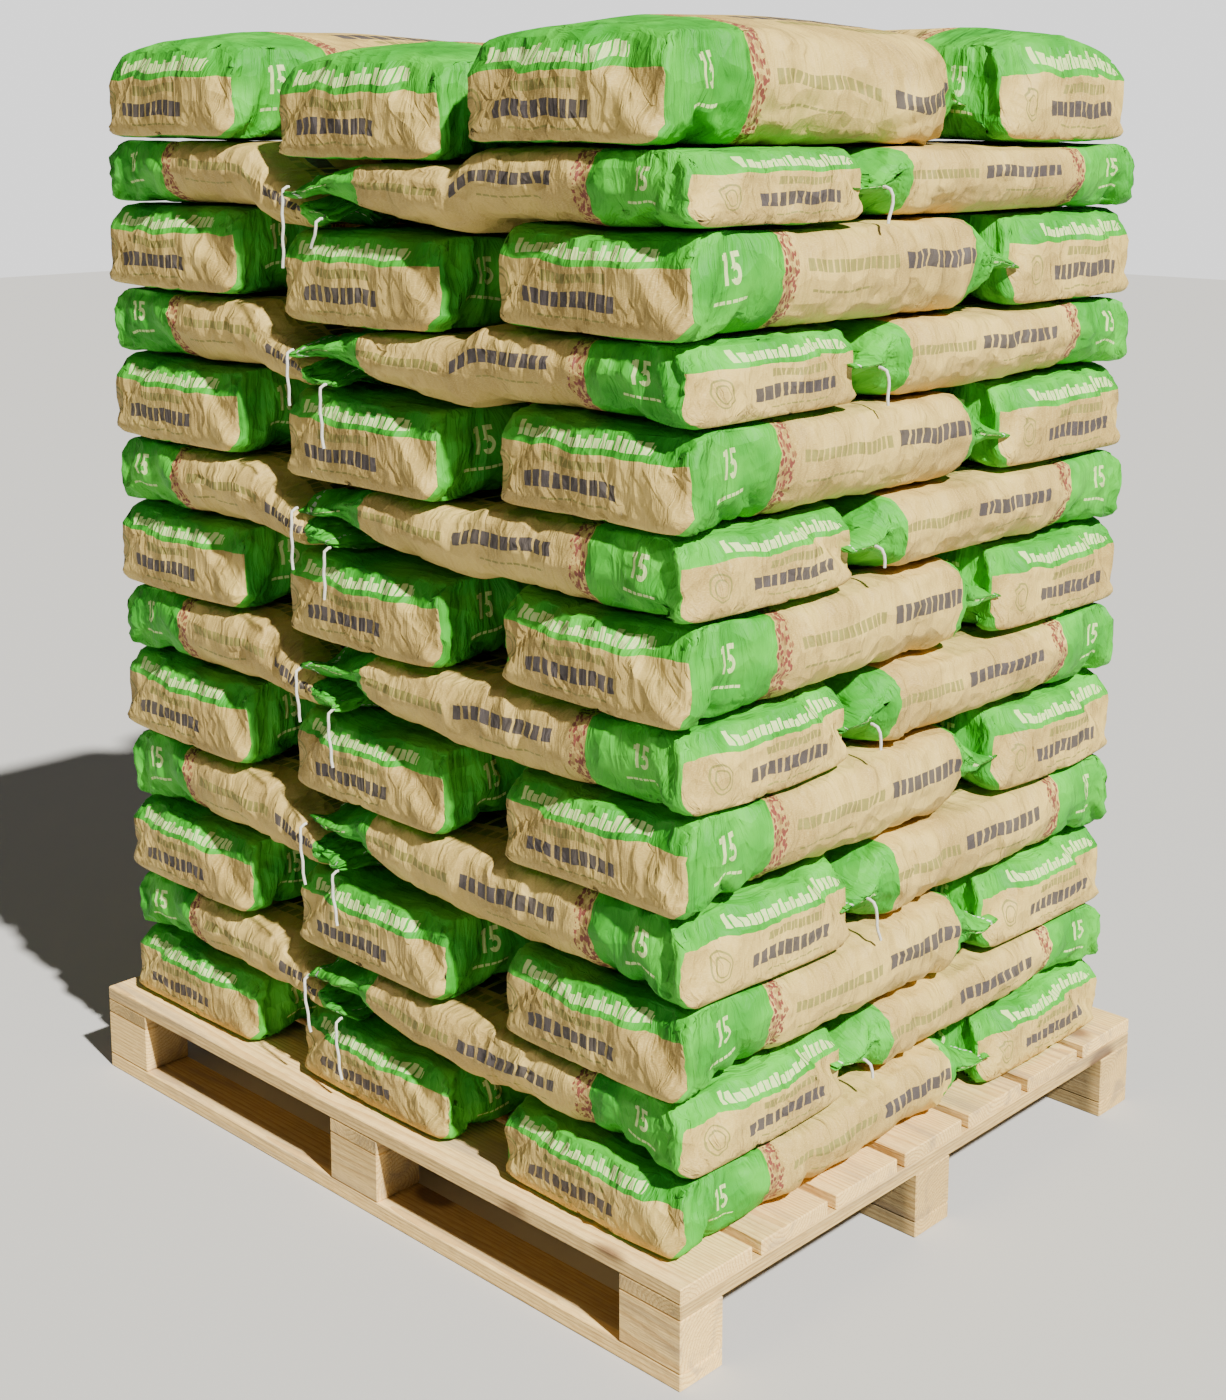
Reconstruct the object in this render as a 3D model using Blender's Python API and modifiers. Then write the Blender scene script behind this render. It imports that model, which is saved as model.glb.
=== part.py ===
"""A loaded pallet: paper sacks of wood pellets, laid five to a layer on a timber block pallet.

Metres, +Z up. X runs along the pallet's long side, Y along its short side, and the origin is
at the middle of its footprint, on the ground.
"""
import math

import bmesh
import bpy
from mathutils import Matrix, Vector

# Driving dimensions of the pallet
PALLET_LENGTH = 1.200
PALLET_WIDTH = 1.000
BOTTOM_BOARD_THICKNESS = 0.022
BLOCK_HEIGHT = 0.068
CROSS_BOARD_THICKNESS = 0.020
DECK_BOARD_THICKNESS = 0.020
BLOCK_LENGTH = 0.100
BLOCK_WIDTH = 0.075
DECK_BOARD_WIDTH = 0.128
DECK_BOARD_COUNT = 7
EDGE_ROUNDING = 0.0015

# Driving dimensions of the load. The heights run from the bottom layer to the top one.
STACK_LENGTH = 1.156
STACK_WIDTH = 0.950
LAYER_HEIGHTS = (
    0.099, 0.096, 0.113, 0.112, 0.119, 0.105, 0.121,
    0.102, 0.120, 0.096, 0.122, 0.089, 0.110,
)
CROSSWISE_PITCH = 0.418
LENGTHWISE_HALF_WIDTH = 0.1725

# How much lower the load lies at the middle of its front, at the underside of each layer and at
# the top of the last one
MIDDLE_SAGS = (
    0.000, 0.000, 0.000, 0.000, 0.000, 0.004, 0.008,
    0.010, 0.013, 0.015, 0.022, 0.020, 0.022, 0.025,
)

# A sack's cross-sections. Each is a distance along the sack, with its underside and its top as
# shares of the sack's height. The sewn end narrows to a flat seam. The upper sack's end lifts
# off the layer below it, and the tucked sack's end slopes down under that one.
CROSSWISE_SECTIONS = (
    (0.000, 0.08, 0.91),
    (0.022, 0.00, 1.00),
    (0.150, 0.00, 1.00),
    (0.345, 0.00, 1.00),
    (0.390, 0.00, 1.00),
    (0.545, 0.00, 1.00),
    (0.584, 0.03, 0.86),
    (0.612, 0.30, 0.60),
    (0.650, 0.39, 0.51),
)
UPPER_SECTIONS = (
    (0.000, 0.08, 0.91),
    (0.022, 0.00, 1.00),
    (0.150, 0.00, 1.00),
    (0.341, 0.00, 1.00),
    (0.393, 0.00, 1.00),
    (0.578, 0.34, 1.00),
    (0.653, 0.54, 0.80),
    (0.703, 0.58, 0.70),
)
TUCKED_SECTIONS = (
    (0.000, 0.08, 0.91),
    (0.022, 0.00, 1.00),
    (0.150, 0.00, 1.00),
    (0.341, 0.00, 1.00),
    (0.393, 0.00, 0.88),
    (0.438, 0.00, 0.64),
    (0.483, 0.12, 0.40),
    (0.533, 0.18, 0.30),
)

# At each section: how far the sides stand from the centre line, the size of the corners, how far
# the top layer's middle rises, and how much of the sag the sack takes there
CROSSWISE_OUTWARD_SIDE = (0.153, 0.158, 0.164, 0.165, 0.165, 0.163, 0.155, 0.155, 0.150)
CROSSWISE_NEIGHBOUR_SIDE = (0.153, 0.165, 0.190, 0.2105, 0.2105, 0.185, 0.160, 0.152, 0.150)
CROSSWISE_CORNERS = (0.010, 0.022, 0.030, 0.030, 0.030, 0.028, 0.020, 0.005, 0.004)
CROSSWISE_CROWN = (0.008, 0.022, 0.036, 0.038, 0.038, 0.032, 0.016, 0.000, 0.000)
CROSSWISE_SAG = (1, 1, 1, 1, 0, 0, 0, 0, 0)
LENGTHWISE_OUTWARD_SIDE = (0.160, 0.165, 0.170, 0.1725, 0.1725, 0.171, 0.171, 0.171)
LENGTHWISE_INWARD_SIDE = (0.145, 0.155, 0.168, 0.1725, 0.1725, 0.165, 0.152, 0.150)
LENGTHWISE_CORNERS = (0.010, 0.022, 0.030, 0.030, 0.030, 0.024, 0.010, 0.004)
LENGTHWISE_CROWN = (0.008, 0.022, 0.036, 0.038, 0.034, 0.016, 0.000, 0.000)
LENGTHWISE_SAG = (0, 0, 0, 0, 1, 1, 1, 1)
WIDEST_CORNER = 0.45

# The free ends of the closing thread: each hangs from a sewn seam, out past the face below it
THREAD_DIAMETER = 0.004
THREAD_POINT_SPACING = 0.008
THREAD_LEAD = 0.003
FRONT_THREAD_BEND = 0.008
SIDE_THREAD_BEND = 0.011
THREAD_INSET = 0.006
DRIFT_POWER = 1.5
SIDE_SEAM_LEVEL = 0.46
SIDE_THREAD_SECTION = 6

# Layer: (length, sideways drift of the free end) of each tail that hangs from that layer
UPPER_TAILS = {
    2: (0.085, 0.012),
    4: (0.090, 0.008),
    6: (0.080, 0.008),
    8: (0.090, 0.000),
    10: (0.080, 0.004),
    12: (0.112, -0.002),
}
TUCKED_TAILS = {
    2: (0.090, 0.010),
    4: (0.080, 0.010),
    6: (0.084, 0.008),
    8: (0.076, 0.000),
    10: (0.090, 0.005),
    12: (0.045, -0.010),
}
SIDE_TAILS = {
    2: (0.030, 0.000),
    4: (0.064, 0.010),
    6: (0.040, 0.002),
    8: (0.034, 0.000),
    10: (0.054, 0.000),
    12: (0.052, -0.008),
}

# Gap that touching pieces keep
GAP = 0.0003

PINE = (0.78, 0.60, 0.38, 1.0)
KRAFT_PAPER = (0.66, 0.50, 0.32, 1.0)
THREAD_WHITE = (0.88, 0.87, 0.82, 1.0)


def clear_scene():
    for scene_object in list(bpy.data.objects):
        bpy.data.objects.remove(scene_object, do_unlink=True)


def new_collection(name):
    collection = bpy.data.collections.new(name)
    bpy.context.scene.collection.children.link(collection)
    return collection


def new_material(name, colour, roughness):
    material = bpy.data.materials.new(name)
    material.use_nodes = True
    shader = material.node_tree.nodes["Principled BSDF"]
    shader.inputs["Base Color"].default_value = colour
    shader.inputs["Roughness"].default_value = roughness
    shader.inputs["Metallic"].default_value = 0.0
    material.diffuse_color = colour
    return material


def add_object(name, mesh, collection, material):
    piece = bpy.data.objects.new(name, mesh)
    piece.data.materials.append(material)
    collection.objects.link(piece)
    return piece


def timber(name, size, low_corner, collection):
    """One sawn piece, given by its size and its lowest corner, with its sharp edges eased."""
    mesh = bpy.data.meshes.new(name)
    shape = bmesh.new()
    bmesh.ops.create_cube(shape, size=1.0, matrix=Matrix.Diagonal((*size, 1.0)))
    shape.to_mesh(mesh)
    shape.free()
    piece = add_object(name, mesh, collection, new_material(name + "_pine", PINE, 0.75))
    piece.location = Vector(low_corner) + Vector(size) / 2
    edges = piece.modifiers.new("eased_edges", "BEVEL")
    edges.width = EDGE_ROUNDING
    edges.segments = 1


def build_pallet(collection):
    """Three bottom boards, nine blocks, three cross boards and the deck. Returns the deck's top."""
    rows = [-PALLET_WIDTH / 2, -BLOCK_WIDTH / 2, PALLET_WIDTH / 2 - BLOCK_WIDTH]
    columns = [-PALLET_LENGTH / 2, -BLOCK_LENGTH / 2, PALLET_LENGTH / 2 - BLOCK_LENGTH]
    row_names = ("front", "middle", "back")
    column_names = ("left", "centre", "right")

    for row, name in zip(rows, row_names):
        size = (PALLET_LENGTH, BLOCK_WIDTH, BOTTOM_BOARD_THICKNESS)
        timber(f"bottom_board_{name}", size, (-PALLET_LENGTH / 2, row, 0.0), collection)

    block_bottom = BOTTOM_BOARD_THICKNESS + GAP
    for row, row_name in zip(rows, row_names):
        for column, column_name in zip(columns, column_names):
            size = (BLOCK_LENGTH, BLOCK_WIDTH, BLOCK_HEIGHT)
            timber(f"block_{row_name}_{column_name}", size, (column, row, block_bottom), collection)

    cross_bottom = block_bottom + BLOCK_HEIGHT + GAP
    for column, name in zip(columns, column_names):
        size = (BLOCK_LENGTH, PALLET_WIDTH, CROSS_BOARD_THICKNESS)
        timber(f"cross_board_{name}", size, (column, -PALLET_WIDTH / 2, cross_bottom), collection)

    deck_bottom = cross_bottom + CROSS_BOARD_THICKNESS + GAP
    pitch = (PALLET_WIDTH - DECK_BOARD_WIDTH) / (DECK_BOARD_COUNT - 1)
    for index in range(DECK_BOARD_COUNT):
        size = (PALLET_LENGTH, DECK_BOARD_WIDTH, DECK_BOARD_THICKNESS)
        corner = (-PALLET_LENGTH / 2, -PALLET_WIDTH / 2 + index * pitch, deck_bottom)
        timber(f"deck_board_{index + 1}", size, corner, collection)
    return deck_bottom + DECK_BOARD_THICKNESS


def level_at(share, height, sags, sag_share):
    """The height in a layer at a share of a sack's height, where its underside and top may sag."""
    underside = -sags[0] * sag_share
    top = height - sags[1] * sag_share
    return underside + share * (top - underside)


def section_outline(left, right, underside, top, corner, crown):
    """The outline across a sack, as (sideways, up) points. A crowned one rises to its middle."""
    corner = min(corner, WIDEST_CORNER * (top - underside))
    outline = [
        (-left + corner, underside),
        (right - corner, underside),
        (right, underside + corner),
        (right, top - corner),
        (right - corner, top),
        (-left + corner, top),
        (-left, top - corner),
        (-left, underside + corner),
    ]
    if crown is not None:
        outline.insert(5, ((right - left) / 2, top + crown))
    return outline


def sack_mesh(name, sections, sides, corners, crowns, sag_shares, height, sags):
    """A lying sack as a loft, from its bottom end at the origin along +Y to its sewn tip."""
    shape = bmesh.new()
    rings = []
    for section, left, right, corner, crown, sag_share in zip(
        sections, *sides, corners, crowns, sag_shares
    ):
        distance, underside, top = section
        underside = level_at(underside, height, sags, sag_share)
        top = level_at(top, height, sags, sag_share)
        outline = section_outline(left, right, underside, top, corner, crown)
        rings.append([shape.verts.new((side, distance, up)) for side, up in outline])
    for ring, following in zip(rings, rings[1:]):
        for index in range(len(ring)):
            after = (index + 1) % len(ring)
            shape.faces.new((ring[index], ring[after], following[after], following[index]))
    shape.faces.new(rings[0])
    shape.faces.new(rings[-1])
    bmesh.ops.recalc_face_normals(shape, faces=shape.faces)
    mesh = bpy.data.meshes.new(name)
    shape.to_mesh(mesh)
    shape.free()
    return mesh


def layer_sacks(height, sags, crosswise_at_front, crowned):
    """The five sacks of a layer, laid with its three crosswise sacks at the front.

    Yields (mesh, place), where place puts the sack into the layer.
    """
    no_sag = [0] * len(CROSSWISE_SAG)
    no_crown = [None] * len(CROSSWISE_CROWN)
    crowns = CROSSWISE_CROWN if crowned else no_crown
    side_profiles = (
        (CROSSWISE_OUTWARD_SIDE, CROSSWISE_NEIGHBOUR_SIDE),
        (CROSSWISE_NEIGHBOUR_SIDE, CROSSWISE_NEIGHBOUR_SIDE),
        (CROSSWISE_NEIGHBOUR_SIDE, CROSSWISE_OUTWARD_SIDE),
    )
    for index, sides in zip((-1, 0, 1), side_profiles):
        sag_shares = CROSSWISE_SAG if crosswise_at_front and index == 0 else no_sag
        mesh = sack_mesh(
            "crosswise_sack", CROSSWISE_SECTIONS, sides, CROSSWISE_CORNERS, crowns, sag_shares,
            height, sags,
        )
        yield mesh, Matrix.Translation((index * CROSSWISE_PITCH, -STACK_WIDTH / 2, 0.0))

    # The pair at the back meet end to end. Seen from the front, the sack whose sewn end lies
    # over the other is on the left.
    row = STACK_WIDTH / 2 - LENGTHWISE_HALF_WIDTH
    crowns = LENGTHWISE_CROWN if crowned else no_crown
    sag_shares = no_sag if crosswise_at_front else LENGTHWISE_SAG
    sides = (LENGTHWISE_OUTWARD_SIDE, LENGTHWISE_INWARD_SIDE)
    pair = (
        ("upper_sack", UPPER_SECTIONS, sides, -1),
        ("tucked_sack", TUCKED_SECTIONS, sides[::-1], 1),
    )
    for name, sections, sides, end in pair:
        mesh = sack_mesh(
            name, sections, sides, LENGTHWISE_CORNERS, crowns, sag_shares, height, sags
        )
        quarter_turn = Matrix.Rotation(end * math.pi / 2, 4, "Z")
        yield mesh, Matrix.Translation((end * STACK_LENGTH / 2, row, 0.0)) @ quarter_turn


def build_layer(number, bottom, height, sags, collection, forms):
    """One layer as one solid: its sacks joined where they press together."""
    crosswise_at_front = number % 2 == 1
    turn = Matrix.Rotation(0.0 if crosswise_at_front else math.pi, 4, "Z")
    name = f"sack_layer_{number:02d}"
    crowned = number == len(LAYER_HEIGHTS)
    layer = None
    for mesh, place in layer_sacks(height, sags, crosswise_at_front, crowned):
        mesh.transform(turn @ place)
        if layer is None:
            layer = add_object(name, mesh, collection, new_material(name + "_paper", KRAFT_PAPER, 0.7))
            layer.location.z = bottom
            continue
        sack = bpy.data.objects.new(f"{name}_form", mesh)
        sack.location.z = bottom
        sack.hide_render = True
        sack.display_type = "WIRE"
        forms.objects.link(sack)
        join = layer.modifiers.new("pressed_together", "BOOLEAN")
        join.operation = "UNION"
        join.solver = "EXACT"
        join.object = sack


def thread_route(start, outward, sideways, radius, length, drift):
    """Points down a free thread end: straight out of the seam, over a round bend, then hanging."""
    bend = radius * math.pi / 2
    free = length - THREAD_LEAD
    count = max(4, round(free / THREAD_POINT_SPACING) + 1)
    points = [start]
    for index in range(count):
        along = free * index / (count - 1)
        turned = min(along, bend) / radius
        hanging = max(0.0, along - bend)
        out = THREAD_LEAD + radius * math.sin(turned)
        down = radius * (1.0 - math.cos(turned)) + hanging
        aside = drift * (hanging / (free - bend)) ** DRIFT_POWER
        points.append(start + out * outward + aside * sideways - Vector((0.0, 0.0, down)))
    return points


def thread_tail(name, points, collection):
    curve = bpy.data.curves.new(name, "CURVE")
    curve.dimensions = "3D"
    curve.bevel_depth = THREAD_DIAMETER / 2
    curve.bevel_resolution = 2
    curve.use_fill_caps = True
    spline = curve.splines.new("POLY")
    spline.points.add(len(points) - 1)
    for spline_point, point in zip(spline.points, points):
        spline_point.co = (*point, 1.0)
    add_object(name, curve, collection, new_material(name + "_thread", THREAD_WHITE, 0.8))


def seam_level(sections, height, sags):
    """The height of a lengthwise sack's seam in its layer, at its tip."""
    _, underside, top = sections[-1]
    return level_at((underside + top) / 2, height, sags, LENGTHWISE_SAG[-1])


def build_thread_tails(number, bottom, height, sags, collection):
    """The tails of one layer whose lengthwise sacks are at the front."""
    front_row = STACK_WIDTH / 2 - LENGTHWISE_HALF_WIDTH
    front_edge = front_row + LENGTHWISE_OUTWARD_SIDE[-1] + GAP
    side_edge = CROSSWISE_PITCH + CROSSWISE_OUTWARD_SIDE[SIDE_THREAD_SECTION] + GAP
    behind_front_row = -STACK_WIDTH / 2 + 2 * LENGTHWISE_HALF_WIDTH
    upper_tip = STACK_LENGTH / 2 - UPPER_SECTIONS[-1][0]
    tucked_tip = TUCKED_SECTIONS[-1][0] - STACK_LENGTH / 2
    upper_seam = bottom + seam_level(UPPER_SECTIONS, height, sags)
    tucked_seam = bottom + seam_level(TUCKED_SECTIONS, height, sags)
    side_seam = bottom + SIDE_SEAM_LEVEL * height

    upper_start = Vector((upper_tip + THREAD_INSET, -front_edge, upper_seam))
    tucked_start = Vector((tucked_tip - THREAD_INSET, -front_edge, tucked_seam))
    side_start = Vector((side_edge, behind_front_row + THREAD_INSET, side_seam))
    ahead = Vector((0.0, -1.0, 0.0))
    right = Vector((1.0, 0.0, 0.0))
    back = Vector((0.0, 1.0, 0.0))
    tails = (
        ("upper", UPPER_TAILS, upper_start, ahead, right, FRONT_THREAD_BEND),
        ("tucked", TUCKED_TAILS, tucked_start, ahead, right, FRONT_THREAD_BEND),
        ("side", SIDE_TAILS, side_start, right, back, SIDE_THREAD_BEND),
    )
    for kind, lengths, start, outward, sideways, radius in tails:
        length, drift = lengths[number]
        points = thread_route(start, outward, sideways, radius, length, drift)
        thread_tail(f"thread_tail_{number:02d}_{kind}", points, collection)


def main():
    clear_scene()
    collection = new_collection("pallet_of_sacks")
    forms = new_collection("sack_forms")
    level = build_pallet(collection) + GAP
    sags_below_and_above = zip(MIDDLE_SAGS, MIDDLE_SAGS[1:])
    for number, (height, sags) in enumerate(zip(LAYER_HEIGHTS, sags_below_and_above), start=1):
        build_layer(number, level, height, sags, collection, forms)
        if number % 2 == 0:
            build_thread_tails(number, level, height, sags, collection)
        level += height + GAP


main()
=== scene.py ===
"""The looks of a loaded pallet: filled paper sacks, their loose threads, the timber's finish,
light and camera."""

import math

import bpy
import numpy as np
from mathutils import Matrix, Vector


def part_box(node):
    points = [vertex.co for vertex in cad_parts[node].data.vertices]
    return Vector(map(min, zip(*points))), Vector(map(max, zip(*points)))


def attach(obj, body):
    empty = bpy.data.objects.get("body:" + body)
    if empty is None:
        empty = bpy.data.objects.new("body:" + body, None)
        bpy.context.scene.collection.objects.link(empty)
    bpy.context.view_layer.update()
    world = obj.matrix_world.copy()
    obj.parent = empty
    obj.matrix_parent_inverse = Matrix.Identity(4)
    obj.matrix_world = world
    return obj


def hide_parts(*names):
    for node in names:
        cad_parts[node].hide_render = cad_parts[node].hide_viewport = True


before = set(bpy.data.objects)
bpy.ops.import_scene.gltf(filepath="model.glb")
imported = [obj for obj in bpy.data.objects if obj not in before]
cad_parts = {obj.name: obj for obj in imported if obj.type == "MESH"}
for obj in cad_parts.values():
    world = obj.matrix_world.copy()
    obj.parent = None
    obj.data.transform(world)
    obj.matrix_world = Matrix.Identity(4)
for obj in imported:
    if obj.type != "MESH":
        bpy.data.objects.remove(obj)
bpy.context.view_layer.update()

# The load, as the part is laid out
STACK_LENGTH = 1.156
STACK_WIDTH = 0.950
LAYER_COUNT = 13
TOP_LAYER_HEIGHT = 0.110
CROSSWISE_PITCH = 0.418
LENGTHWISE_HALF_WIDTH = 0.1725
GAP = 0.0003

# How much lower the load lies at the middle of its front, at the underside of each layer and at
# the top of the last one, and where that starts and is full
MIDDLE_SAGS = (0, 0, 0, 0, 0, 0.004, 0.008, 0.010, 0.013, 0.015, 0.022, 0.020, 0.022, 0.025)
SAG_HALF_WIDTH = (0.185, 0.237)
SAG_DEPTH = (-0.130, -0.085)

# A lying sack's cross-sections, as in the part but with fuller sewn ends: the distance along
# it, its underside and its top as shares of its height. Then how far its sides stand from its
# centre line at each, and how far the top layer's sacks are crowned. A sewn end is as wide as
# its paper.
CROSSWISE_SECTIONS = (
    (0.000, 0.05, 0.94), (0.022, 0.00, 1.00), (0.150, 0.00, 1.00), (0.345, 0.00, 1.00),
    (0.530, 0.00, 1.00), (0.560, 0.01, 0.95), (0.584, 0.06, 0.83), (0.612, 0.28, 0.62),
    (0.650, 0.39, 0.51),
)
UPPER_SECTIONS = (
    (0.000, 0.05, 0.94), (0.022, 0.00, 1.00), (0.150, 0.00, 1.00), (0.341, 0.00, 1.00),
    (0.400, 0.01, 1.00), (0.490, 0.12, 1.00), (0.578, 0.30, 0.98), (0.653, 0.40, 0.86),
    (0.703, 0.46, 0.76),
)
TUCKED_SECTIONS = (
    (0.000, 0.05, 0.94), (0.022, 0.00, 1.00), (0.150, 0.00, 1.00), (0.320, 0.00, 1.00),
    (0.360, 0.00, 0.97), (0.393, 0.00, 0.88), (0.438, 0.00, 0.64), (0.483, 0.02, 0.42),
    (0.533, 0.03, 0.30),
)
OUTWARD_SIDE = (0.153, 0.158, 0.164, 0.166, 0.164, 0.160, 0.156, 0.155, 0.152)
NEIGHBOUR_SIDE = (0.153, 0.165, 0.190, 0.2085, 0.187, 0.174, 0.162, 0.154, 0.151)
LENGTHWISE_OUTWARD_SIDE = (0.160, 0.165, 0.170, 0.1725, 0.1725, 0.172, 0.171, 0.171, 0.171)
LENGTHWISE_INWARD_SIDE = (0.145, 0.155, 0.168, 0.1715, 0.1715, 0.170, 0.163, 0.152, 0.150)
TOP_LAYER_CROWN = (0.010, 0.030, 0.046, 0.046, 0.038, 0.030, 0.014, 0.000, 0.000)

# An empty sack's blank before it is filled, and the counts of its paper's cells. Past the free
# length its paper is pushed together or drawn out to the sack's length in the stack.
SACK_WIDTH = 0.330
SACK_LENGTH = 0.690
SACK_HEIGHT = 0.108
CELLS = (33, 69, 12)
FREE_LENGTH = 0.400
EDGE_RADIUS = 0.028
TAPER_START = 0.530
SEAM_START = 0.640
SEAM_THICKNESS = 0.011
SEAM_SHARE = 0.46
RIM_LENGTH = 0.012

# Filling: three filled versions of the blank serve all the sacks
FILLING_SEEDS = (20, 25, 31)
FILLING_STEPS = 20
PRESSURE = 6.0
EXTRA_PAPER = 0.033
FILLED_GRAVITY = 0.3
RUFFLE = 0.0015
FARTHEST_MOVE = 0.06
HELD_END = 0.6
HELD_SEAM = 0.8

# Where the paper lies taut round the printed numbers: half the height and half the length of
# that place, each with the distance over which the paper slackens, and where its middle lies
TAUT_HEIGHT = (0.036, 0.012)
TAUT_LENGTH = (0.055, 0.020)
TAUT_MIDDLE = 0.085
SIDE_START = 0.12

# A sack's sides in the stack: how full they stand, and how far they are rounded towards the
# layers above and below
SIDE_FULLNESS = 0.35
SIDE_ROUNDING = 0.105
END_ROUNDING_SHARE = 0.25
END_ROUNDING_LENGTH = 0.12
MOST_DRAWN = 1.15
LEAST_SPAN = 0.2
CENTRE_HALF_WIDTH = 0.10
WIDE_WAVES = (0.0015, 0.12)
NARROW_WAVES = (0.0010, 0.05)

# Dents between the layers: depth, length and how far apart each layer's are taken
DENT_DEPTH = 0.0022
DENT_LENGTH = 0.34
DENT_STEP = 0.37

# How far a sack's flat end stands back at random, and how many degrees it is turned
SETBACK = 0.006
TURN = 0.6

# The flat end leans back at its top and foot, and its upper corners are pulled in past a fold
END_FOLD_DEPTH = 0.090
END_LEAN = 0.020
END_LEAN_START = 0.70
END_FOOT_LEAN = 0.006
END_FOOT_HEIGHT = 0.16
END_CORNER_PULL = 0.017
END_CORNER_SHARES = (0.7, 1.0)
END_CORNER_WIDTHS = (0.060, 0.085)
END_CORNER_HEIGHTS = (0.50, 0.72)
END_CORNER_INSET = 0.010
END_FOLD_WIDTH = 0.016

# Buckled folds round the belly
BELLY_CREASES = 4
CREASE_PLACES = (0.20, 0.52)
CREASE_SLANTS = (-0.05, 0.05)
CREASE_DEPTHS = (0.002, 0.0045)
CREASE_WIDTH = 0.011

# The sewn end's gathers, its flap and how far its seam wanders up and down
GATHER_LENGTH = 0.300
GATHER_DEPTH = 0.0042
GATHER_PITCH = 0.045
GATHER_STRETCH = 0.35
SEWN_FLAP_LENGTH = 0.120
SEWN_FLAP_PULL = 0.010
SEWN_FLAP_PITCH = 0.10
SEWN_WANDER = {"crosswise": 0.0040, "upper": 0.0080, "tucked": 0.0060}
SEWN_WANDER_PITCH = 0.075

# How the top layer's near sack slumps over the layer below
SLUMP_PLACE = 0.440
SLUMP_LENGTH = 0.100
SLUMP_OUTWARD = 0.045
SLUMP_DROP = 0.024

# How the top layer's sacks lie askew: the flat end's shift along X and the turn in degrees
TOP_LAYER_MOVES = {
    "crosswise_left": (0.014, -1.5), "crosswise_middle": (0.004, 1.5),
    "crosswise_right": (-0.044, 2.5), "lengthwise_upper": (0.0, 0.0),
    "lengthwise_tucked": (-0.012, 0.0),
}

# Where each sack's flat end stands in an odd layer, and the way the sack lies from there
LENGTHWISE_LINE = STACK_WIDTH / 2 - LENGTHWISE_HALF_WIDTH
SACK_PLACES = (
    ("crosswise_left", "crosswise", (-CROSSWISE_PITCH, -STACK_WIDTH / 2), 0.0),
    ("crosswise_middle", "crosswise", (0.0, -STACK_WIDTH / 2), 0.0),
    ("crosswise_right", "crosswise", (CROSSWISE_PITCH, -STACK_WIDTH / 2), 0.0),
    ("lengthwise_upper", "upper", (-STACK_LENGTH / 2, LENGTHWISE_LINE), -90.0),
    ("lengthwise_tucked", "tucked", (STACK_LENGTH / 2, LENGTHWISE_LINE), 90.0),
)
SIDES = {
    "crosswise_left": (OUTWARD_SIDE, NEIGHBOUR_SIDE),
    "crosswise_middle": (NEIGHBOUR_SIDE, NEIGHBOUR_SIDE),
    "crosswise_right": (NEIGHBOUR_SIDE, OUTWARD_SIDE),
    "lengthwise_upper": (LENGTHWISE_OUTWARD_SIDE, LENGTHWISE_INWARD_SIDE),
    "lengthwise_tucked": (LENGTHWISE_INWARD_SIDE, LENGTHWISE_OUTWARD_SIDE),
}
SECTIONS = {"crosswise": CROSSWISE_SECTIONS, "upper": UPPER_SECTIONS, "tucked": TUCKED_SECTIONS}

# Free thread ends: (length, sideways drift) for each even layer, as in the part
THREAD_DIAMETER = 0.004
THREAD_POINT_SPACING = 0.008
THREAD_LEAD = 0.003
FRONT_THREAD_BEND = 0.008
SIDE_THREAD_BEND = 0.011
THREAD_INSET = 0.006
THREAD_CURL = 0.0012
THREAD_CURL_PITCH = 0.034
DRIFT_POWER = 1.5
SIDE_SEAM_LEVEL = 0.46
SIDE_SEAM_OUTWARD = 0.155
UPPER_TAILS = {2: (0.085, 0.012), 4: (0.090, 0.008), 6: (0.080, 0.008),
               8: (0.090, 0.000), 10: (0.080, 0.004), 12: (0.112, -0.002)}
TUCKED_TAILS = {2: (0.090, 0.010), 4: (0.080, 0.010), 6: (0.084, 0.008),
                8: (0.076, 0.000), 10: (0.090, 0.005), 12: (0.045, -0.010)}
SIDE_TAILS = {2: (0.030, 0.000), 4: (0.064, 0.010), 6: (0.040, 0.002),
              8: (0.034, 0.000), 10: (0.054, 0.000), 12: (0.052, -0.008)}

# Print on a sack's sides, in metres along it from its flat end. The places of what is read
# towards the flat end are negative.
GREEN_BAND = 0.165
FLECK_BAND = 0.024
FLECK_SCATTER = 0.030
FLECK_SCALE = 240.0
FLECK_SIZE = 0.60
SEWN_GREEN_START = 0.560
STITCH_PITCH = 0.009
NUMBER_HEIGHT = 0.027
NUMBER_PLACES = ((0.082, 0.004), (-0.080, 0.004))

# Printed rows: middle, half size, pitch of the blocks and seed, then the largest share by which
# a ragged row's blocks are cut down
NAVY_ROWS = (
    ((0.475, 0.006), (0.086, 0.0085), 0.0172, 3.0),
    ((-0.305, 0.006), (0.086, 0.0085), 0.0172, 3.0),
    ((0.40, 0.150), (0.150, 0.018), 0.0300, 5.0),
    ((-0.40, 0.150), (0.150, 0.018), 0.0300, 5.0),
)
OLIVE_ROWS = (
    ((0.290, 0.005), (0.082, 0.0060), 0.0110, 8.0),
    ((-0.490, 0.005), (0.082, 0.0060), 0.0110, 8.0),
    ((0.270, -0.020), (0.055, 0.0014), 0.0120, 1.0),
    ((-0.290, -0.020), (0.055, 0.0014), 0.0120, 1.0),
    ((0.40, 0.112), (0.110, 0.009), 0.0180, 6.0),
    ((-0.40, 0.112), (0.110, 0.009), 0.0180, 6.0),
)
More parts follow.
